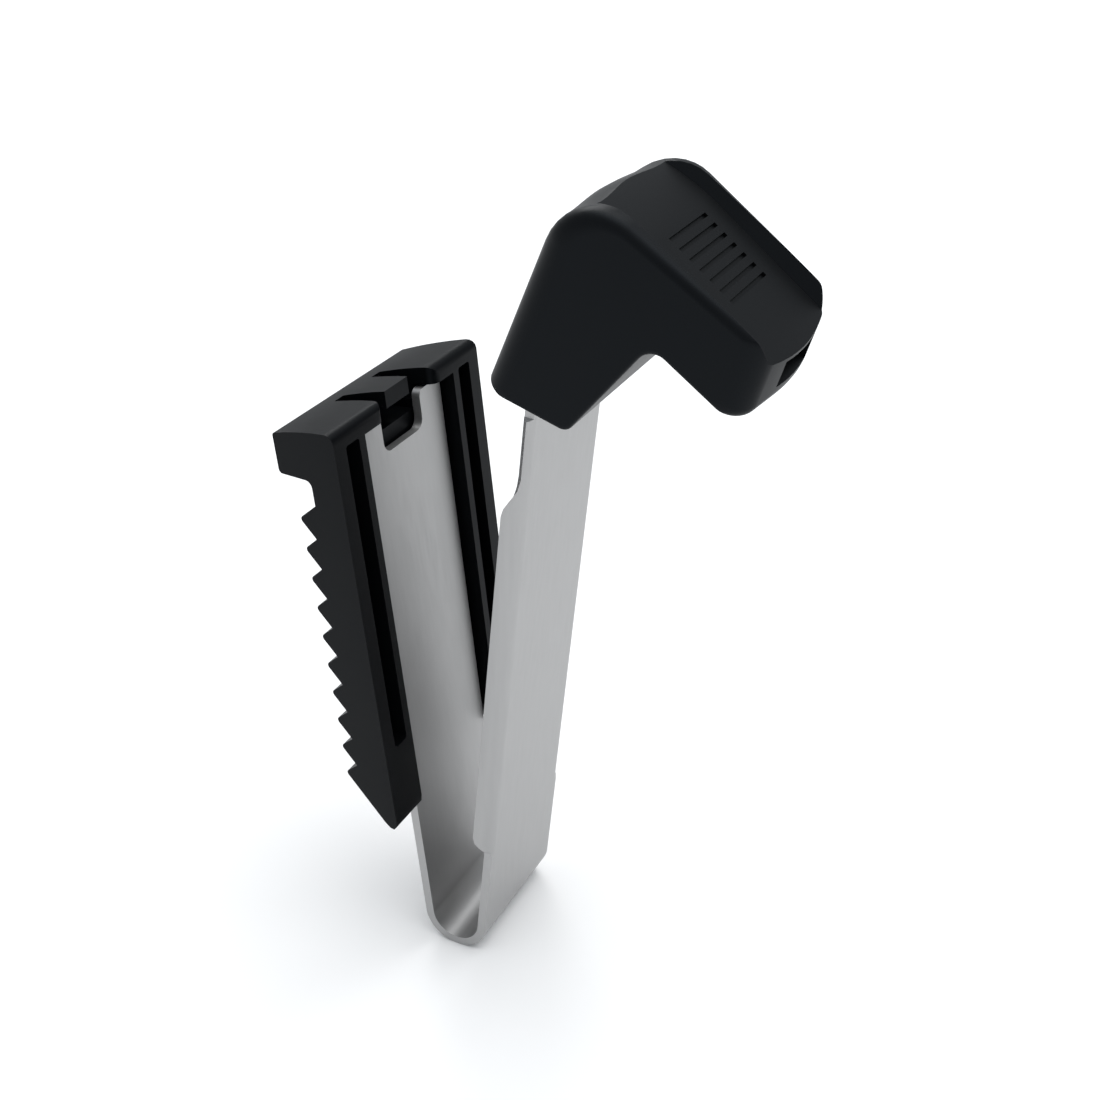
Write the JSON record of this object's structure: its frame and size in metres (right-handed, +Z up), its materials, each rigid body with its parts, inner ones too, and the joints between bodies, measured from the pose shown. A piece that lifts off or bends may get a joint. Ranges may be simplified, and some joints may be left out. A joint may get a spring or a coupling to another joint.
{
  "type": "toothed spring clip",
  "caption": "V-shaped leaf-spring latch clip with a toothed black shoe on one leg and an angled black thumb grip on the other.",
  "frame": {"origin": "under the middle of the clip's outline, at the lowest point of the U-bend", "axes": "+Z up between the two legs, +X from the shoe towards the thumb grip, +Y along the bend across the strip's width"},
  "size_m": [0.05, 0.0282, 0.0912],
  "materials": {
    "shoe_plastic": "fine moulded satin",
    "spring_steel": "fine satin, sheared edges",
    "grip_plastic": "fine moulded matt"
  },
  "bodies": {
    "shoe_side": {"toothed_shoe": "shoe_plastic", "spring_shoe_leg": "spring_steel", "spring_bend": "spring_steel"},
    "grip_side": {"spring_grip_leg": "spring_steel", "thumb_grip": "grip_plastic"}
  },
  "joints": [
    {"name": "squeeze", "type": "hinge", "parent": "shoe_side", "child": "grip_side", "pos_m": [-0.00845, 0, 0.00394], "axis": [0, -1, 0], "range_deg": [0, 14.5], "stiffness_Nm_per_rad": 6.5, "deforming": ["spring_bend"]}
  ]
}
